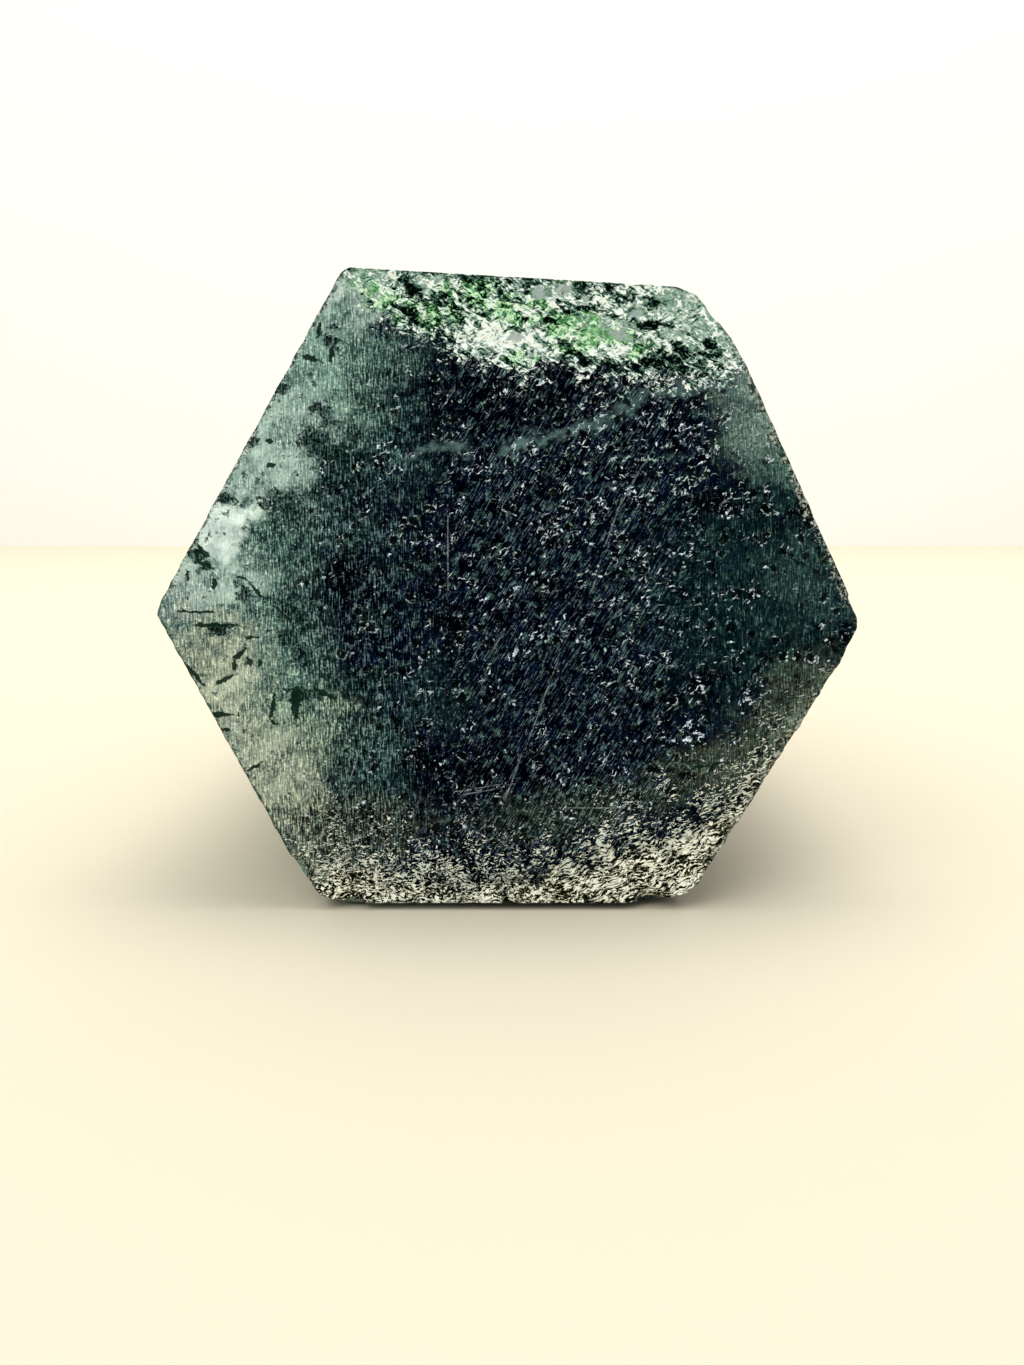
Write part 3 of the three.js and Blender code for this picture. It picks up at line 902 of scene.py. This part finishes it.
def crust_light(b):
    """How light each flake of the top crust is, with painted shade in its hollows and creases and
    painted highlights on its flake edges and raised grains.
    """
    light = b.centred(b.flake, 0.2, b.centred(b.splinter, 0.26, b.crumb))
    light = b.centred(b.calm, 0.24, light)
    # partly a painted glow: the crust is lightened where light shines through the thin rock near the top
    white_zone = b.smooth(b.spot(b.near, -0.2, 34.0, 3.0, 1.1, -10), 1.4, 0.3, 0.0, 0.13)
    pale_zone = b.smooth(b.spot(b.near, 4.5, 34.6, 4.6, 1.8, -10), 1.3, 0.5, 0.0, 0.05)
    light = b.plus(light, b.plus(white_zone, pale_zone))
    # painted shade and light: darker where the relief sinks in, lighter where it stands out
    light = b.plus(light, b.smooth(b.out, -0.35, -0.03, -0.08, 0.03))
    quiet = b.smooth(b.centred(b.patchy, 2.0, b.spots(b.near, SMOOTH_PLACES)), 1.25, 0.75, 0.0, 0.85)
    light = b.blend(quiet, light, b.centred(b.crumb, 0.5, 0.56))
    # painted shade in the dark hollows between the flakes
    hollow_shade = b.plus(b.spots(b.near, HOLLOW_SHADE_SPOTS), b.centred(b.crumb, 2.0))
    light = b.minus(light, b.smooth(hollow_shade, 1.2, 0.8, 0.0, 0.16))
    # painted shade: thin dark creases between the splinters
    crease_shade = b.vein(b.noise(b.slanted, 0.8, 2.0, 0.5), 0.48, 0.06)
    crease_shade = b.times(crease_shade, b.minus(1.0, quiet))
    light = b.minus(light, b.times(crease_shade, b.smooth(b.splinter, 0.35, 0.5, 0.0, 0.16)))
    # painted highlight: thin pale lines along the flake edges
    edge = b.vein(b.noise(b.grain(b.torn, 25, 0.8, 0.45), 1.0, 2.0, 0.5), 0.51, 0.06)
    light = b.plus(light, b.times(edge, b.smooth(b.flake, 0.4, 0.55, 0.0, 0.14)))
    light = b.centred(b.fine, 0.16, light)
    # painted light and shade: grains leaning one way are lightened as if raised into the light, those
    # leaning the other way darkened as if sunk into shade
    raised = b.scattered(b.torn, -22, 0.85, 0.22, 0.25, 0.42)
    shaded_grains = b.scattered(b.torn, 28, 0.85, 0.22, 0.25, 0.42)
    return b.math("MULTIPLY_ADD", b.minus(raised, shaded_grains), 0.26, light)


def top_crust(b):
    """Broken green and white crust along the top; its brightest white and green stand partly for a
    painted glow of light shining through the thin rock near the top edge.
    """
    over = b.centred(b.patchy, 4.0, b.minus(b.part(b.near, "Y"), b.line(TOP_CRUST)))
    b.torn = b.shifted(b.place, 1.6, 0.55)
    b.slanted = b.grain(b.torn, -30, 0.9, 0.34)
    b.flake = b.shade(b.cells(b.slanted, 1.0, "Color"))
    b.splinter = b.shade(b.cells(b.grain(b.torn, 35, 0.36, 0.15), 1.0, "Color"))
    b.crumb = b.noise(b.slanted, 2.9, 5.0, 0.8)
    b.calm = b.noise(b.near, 0.6, 2.0)
    share = b.smooth(b.centred(b.splinter, 1.0, b.centred(b.crumb, 5.0, over)), -0.1, 0.15)
    light = crust_light(b)
    crust = b.ramp(light, WHITE_CRUST)
    leafy = b.ramp(light, GREEN_CRUST)
    green = b.smooth(b.centred(b.patchy, 3.0, b.spots(b.near, GREEN_PLACES)), 1.25, 0.75)
    green = b.times(green, b.smooth(b.noise(b.place, 1.3, 3.0), 0.36, 0.52))
    b.coat(share, b.mix(b.times(green, 0.92), crust, leafy))


def foot_crust(b):
    """Cream crust along the foot, streaked level on the left and rising on the right."""
    under = b.centred(b.patchy, 4.0, b.minus(b.line(FOOT_CRUST), b.part(b.near, "Y")))
    wavy = b.shifted(b.shifted(b.place, 0.7, 0.9), 3.4, 0.36)
    level = b.noise(b.grain(wavy, 4, 0.26, 0.105), 1.0, 2.0, 0.66)
    rising = b.noise(b.grain(wavy, 22, 0.46, 0.1), 1.0, 2.0, 0.62)
    streak = b.blend(b.smooth(b.u, -2.0, 6.0), level, rising)
    streak = b.centred(b.calm, 0.26, b.centred(b.patchy, 0.18, streak))
    # painted shade and light: darker where the relief sinks in, lighter where it stands out
    streak = b.plus(streak, b.smooth(b.out, -0.3, -0.03, -0.04, 0.02))
    streak = b.centred(streak, 1.55, b.smooth(b.u, -12.0, -4.0, 0.462, 0.474))
    crumbly = b.ramp(b.plus(streak, b.smooth(under, -2.6, 1.8, -0.17, 0.0)), CREAM_CRUST)
    solid = b.smooth(b.centred(b.crumb, 2.0, under), -1.0, 1.4)
    b.coat(solid, crumbly)
    # single crumbs stand above the solid crust
    raised = b.plus(streak, b.smooth(under, -4.0, 1.2, -0.25, 0.0))
    raised = b.times(b.smooth(raised, 0.5, 0.55), b.minus(1.0, solid))
    raised = b.times(raised, b.smooth(under, -5.0, -3.0))
    b.coat(raised, CREAM_CRUMB)


def flakes_and_scratches(b):
    wobble = b.centred(b.splinter, 0.8, b.centred(b.patchy, 1.6, b.centred(b.fine, 0.8)))
    flakes = b.plus(b.spots(b.close, GREY_FLAKES), wobble)
    b.coat(b.smooth(flakes, 1.15, 0.95, 0.0, 0.85), CLEAVAGE_GREY)
    scratch = b.spots(b.place, strokes(SCRATCHES, SCRATCH_HALF_WIDTH))
    scratch = b.centred(b.crumb, 3.0, b.plus(scratch, wobble))
    b.coat(b.smooth(scratch, 1.2, 0.5, 0.0, 0.5), SCRATCH_GREY)


def worn_and_shaded_rims(b):
    """Speckled and broken rims, with a painted shade along the lower left rim."""
    broken = b.smooth(b.specks, 0.5, 0.56)
    upper_left = b.smooth(b.centred(b.crowd, 1.6, b.inset("top_left", "left")), 0.3, 0.12)
    rim = b.mix(broken, *SPECKLED_LEFT_RIM)
    b.coat(b.times(upper_left, 0.85), rim)
    # painted shade: a dark band along the lower left rim
    lower_left_shade = b.smooth(b.centred(b.crowd, 1.2, b.inset("left", "bottom_left")), 0.3, 0.12)
    b.coat(b.times(lower_left_shade, 0.85), RIM_SHADOW)
    right = b.math("MINIMUM", b.inset("right", "top_right"), b.inset("bottom_right", "right"))
    right = b.smooth(b.centred(b.crowd, 3.0, right), 0.5, 0.2)
    rim = b.mix(broken, *SPECKLED_RIGHT_RIM)
    b.coat(b.times(right, 0.8), rim)


def lapped_base():
    """The sawn base: lapped with grit, never polished."""
    b = Brush("lapped_base")
    b.wide = b.shifted(b.place, 0.28, 2.6)
    b.near = b.shifted(b.shifted(b.place, 0.9, 0.8), 2.6, 0.35)
    b.close = b.shifted(b.place, 3.4, 0.3)

    # lapping marks: upright on the left, leaning to the right over the rest
    upright = b.noise(b.grain(b.place, 91, 0.68, 0.088), 1.0, 1.5, 0.6)
    leaning = b.noise(b.grain(b.place, 59, 0.8, 0.068), 1.0, 1.5, 0.6)
    lean = b.times(b.smooth(b.u, -6.5, -1.0), b.smooth(b.u, 12.5, 9.0))
    b.lap = b.blend(lean, b.centred(upright, 0.9, 0.5), b.centred(leaning, 1.04, 0.5))
    b.patchy = b.noise(b.near, 0.8, 4.0, 0.62)
    b.fine = b.noise(b.place, 6.5, 2.0, 0.7)

    base_tones(b)
    b.paleness = b.smooth(b.shade(b.colour), 0.03, 0.25)
    cloudy = b.spread(b.noise(b.grain(b.near, 30, 3.0, 1.8), 1.0, 4.0, 0.6), 0.32, 0.68)
    b.coat(1.0, b.mix(cloudy, *CLOUD_SHADE), "MULTIPLY")
    wisp = wisp_share(b)
    b.crowd = b.noise(b.near, 1.7, 4.0, 0.68)
    dark_crystals(b)
    lapping_scatter(b)
    frayed = b.smooth(b.noise(b.place, 0.9, 4.0, 0.7), 0.36, 0.56, 0.2, 0.95)
    b.coat(b.times(wisp, frayed), WISP)
    pale_flecks(b)
    needles = b.centred(b.patchy, 2.4, b.centred(b.fine, 1.4, b.spots(b.close, NEEDLES)))
    b.coat(b.smooth(needles, 1.25, 0.9, 0.0, 0.96), NEEDLE)
    top_crust(b)
    foot_crust(b)
    flakes_and_scratches(b)
    worn_and_shaded_rims(b)
    b.finish()

    b.shader.inputs["Roughness"].default_value = 0.65
    b.shader.inputs["Specular IOR Level"].default_value = 0.0
    rough = b.math("MULTIPLY_ADD", b.lap, 0.5, b.plus(b.crumb, b.fine))
    bump = b.add("Bump", {"Height": rough, "Strength": 0.4, "Distance": 0.05 * MM}, "Normal")
    b.tree.links.new(bump, b.shader.inputs["Normal"])
    return b.material


# ---- the polished sides ----


def side_rock(b):
    """Pale on the left and along the top, dark on the right, as on the base."""
    across = b.centred(b.mottle, 14.0, b.centred(b.cloud, 34.0, b.part(b.wide, "X")))
    across = b.smooth(across, -17.0, 9.0, 0.14, -0.045)
    upper = b.smooth(b.centred(b.mottle, 8.0, b.part(b.near, "Y")), 31.0, 38.0, 0.0, 0.1)
    value = b.centred(b.speckle, 0.24, b.centred(b.mottle, 0.62, b.plus(across, upper)))
    value = b.plus(b.times(b.cloud, 0.9), value)
    return b.ramp(value, SIDE_ROCK)


def green_and_cream(b):
    """Green along the top, cream beside the face it lies on."""
    leafy = b.times(b.smooth(b.part(b.near, "Y"), 30.0, 37.0), b.smooth(b.patch, 0.5, 0.58))
    b.coat(b.times(leafy, 0.75), b.mix(b.smooth(b.speckle, 0.4, 0.6), *LEAF))
    low = b.centred(b.cloud, 20.0, b.centred(b.mottle, 16.0, b.part(b.near, "Y")))
    low = b.smooth(low, 5.0, -1.0)
    cream = b.smooth(b.noise(b.grain(b.near, 20, 0.9, 0.35), 1.0, 4.0, 0.7), 0.5, 0.58)
    b.coat(b.times(b.times(low, cream), 0.55), CREAM_STREAK)


def ruby_distance(b):
    """Distance from the nearest ruby patch, in units of its own radius."""
    ruby = b.fold("MINIMUM", (
        b.vector("LENGTH", b.vector(
            "MULTIPLY_ADD", b.near, (1 / radius,) * 3, tuple(-part / radius for part in place)))
        for place, radius in RUBIES))
    return b.centred(b.mottle, 4.4, b.centred(b.speckle, 1.2, ruby))


def ruby_patches(b, ruby):
    """Ruby, each patch in a dark skin."""
    skin = b.smooth(ruby, 1.6, 1.25)
    b.coat(b.times(skin, 0.93), RUBY_SKIN)
    berry = b.mix(b.smooth(b.speckle, 0.38, 0.62), RUBY_DARK, RUBY)
    berry = b.mix(b.smooth(b.patch, 0.44, 0.6, 0.0, 0.4), berry, RUBY_PALE)
    b.coat(b.smooth(ruby, 1.05, 0.9), berry)


def polished_sides():
    """The side faces and tip, ground flat and polished to a gloss."""
    b = Brush("polished_sides")
    b.wide = b.shifted(b.place, 0.07, 9.0)
    b.near = b.shifted(b.shifted(b.place, 0.35, 2.4), 1.4, 0.7)
    b.cloud = b.noise(b.wide, 0.1, 4.0, 0.6)
    b.mottle = b.noise(b.near, 0.5, 5.0, 0.66)
    b.speckle = b.noise(b.place, 3.2, 4.0, 0.72)

    rock = side_rock(b)
    b.colour = b.mix(1.0, rock, b.grey(b.spread(b.speckle, 0.3, 0.7, 0.55, 1.5)), "MULTIPLY")
    b.patch = b.noise(b.near, 0.3, 4.0, 0.6)
    green_and_cream(b)
    ruby = ruby_distance(b)
    ruby_patches(b, ruby)

    # black hornblende: blots, slim crystals, and pale flecks in the dark
    blots = b.noise(b.near, 0.42, 5.0, 0.62)
    slim = b.noise(b.grain(b.near, 65, 1.9, 0.5), 1.0, 2.0, 0.5)
    hornblende = b.math("MAXIMUM", b.smooth(blots, 0.585, 0.602), b.smooth(slim, 0.68, 0.7))
    hornblende = b.times(hornblende, b.smooth(ruby, 0.9, 1.1, 0.25, 0.95))
    b.coat(hornblende, HORNBLENDE)
    flecks = b.smooth(b.noise(b.near, 2.0, 5.0, 0.75), 0.605, 0.65)
    dark = b.smooth(b.shade(rock), 0.09, 0.01, 0.15, 0.85)
    b.coat(b.times(flecks, dark), SIDE_FLECK)
    b.finish()

    gloss = b.math("MULTIPLY_ADD", hornblende, 0.07, b.spread(b.speckle, 0.3, 0.7, 0.26, 0.38))
    b.tree.links.new(gloss, b.shader.inputs["Roughness"])
    b.shader.inputs["IOR"].default_value = 1.55
    b.shader.inputs["Specular IOR Level"].default_value = 0.12
    return b.material


def finish_stone(piece):
    """Polish on the sides, and the lapped finish on what was the sawn face."""
    piece.data.materials.append(polished_sides())
    piece.data.materials.append(lapped_base())
    saw = Vector((0.0, -math.cos(TAPER), math.sin(TAPER)))
    for face in piece.data.polygons:
        depth = -saw.dot(face.center / MM - SHIFT)
        lapped = depth < LAPPED_DEPTH and saw.dot(face.normal) > FACES_OUT
        face.material_index = 1 if lapped else 0
    only(piece)
    bpy.ops.object.shade_smooth_by_angle(angle=SMOOTH_UP_TO)


# ---- studio ----


def plain(name, colour, roughness):
    material = bpy.data.materials.new(name)
    material.use_nodes = True
    shader = material.node_tree.nodes["Principled BSDF"]
    shader.inputs["Base Color"].default_value = (*colour, 1.0)
    shader.inputs["Roughness"].default_value = roughness
    shader.inputs["Specular IOR Level"].default_value = 0.1
    return material


def make_stage():
    bpy.ops.object.select_all(action="DESELECT")
    floor_place = (0, WALL_PLACE - STAGE_SIZE / 2, 0)
    bpy.ops.mesh.primitive_plane_add(size=STAGE_SIZE, location=floor_place)
    floor = bpy.context.object
    floor.name = "studio_floor"
    floor.data.materials.append(plain("floor_board", FLOOR_COLOUR, 0.7))
    bpy.ops.mesh.primitive_plane_add(
        size=STAGE_SIZE, location=(0, WALL_PLACE, 0), rotation=(math.pi / 2, 0, 0))
    wall = bpy.context.object
    wall.name = "studio_wall"
    wall.data.materials.append(plain("wall_paper", WALL_COLOUR, 0.9))


def put_up(name, data, place, turn):
    """Puts a lamp or a camera in its place."""
    thing = bpy.data.objects.new(name, data)
    bpy.context.scene.collection.objects.link(thing)
    thing.location = place
    thing.rotation_euler = turn
    return thing


def soft_light(name, place, target, size, watts):
    data = bpy.data.lights.new(name, "AREA")
    data.shape = "RECTANGLE"
    data.size, data.size_y = size
    data.energy = watts
    data.color = LAMP_COLOUR
    way = Vector(target) - Vector(place)
    put_up(name, data, place, way.to_track_quat("-Z", "Y").to_euler())


def light_studio():
    scene = bpy.context.scene
    scene.view_settings.view_transform = "Standard"
    world = bpy.data.worlds.new("studio")
    world.use_nodes = True
    sky = world.node_tree.nodes["Background"]
    sky.inputs["Color"].default_value = (*DAYLIGHT, 1.0)
    sky.inputs["Strength"].default_value = DAYLIGHT_STRENGTH
    scene.world = world
    soft_light("front_soft", (-0.2, -0.55, 0.45), (0, -0.04, 0.02), (0.5, 0.4), 1.75)
    soft_light("wall_soft", (0.0, 0.1, 0.65), (0, WALL_PLACE, 0.25), (1.2, 0.4), 3.3)
    soft_light("top_soft", (0.1, 0.05, 0.6), (0, 0, 0), (0.6, 0.5), 1.6)


def set_camera():
    data = bpy.data.cameras.new("camera")
    data.lens = 40.0
    data.sensor_width = 36.0
    data.clip_start = 0.005
    bpy.context.scene.camera = put_up("camera", data, CAMERA_PLACE, (CAMERA_TILT, 0, 0))


make_stage()
light_studio()
set_camera()
stone = make_stone()
put_in_frame(stone)
finish_stone(stone)
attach(stone, "root")
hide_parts(NODE)
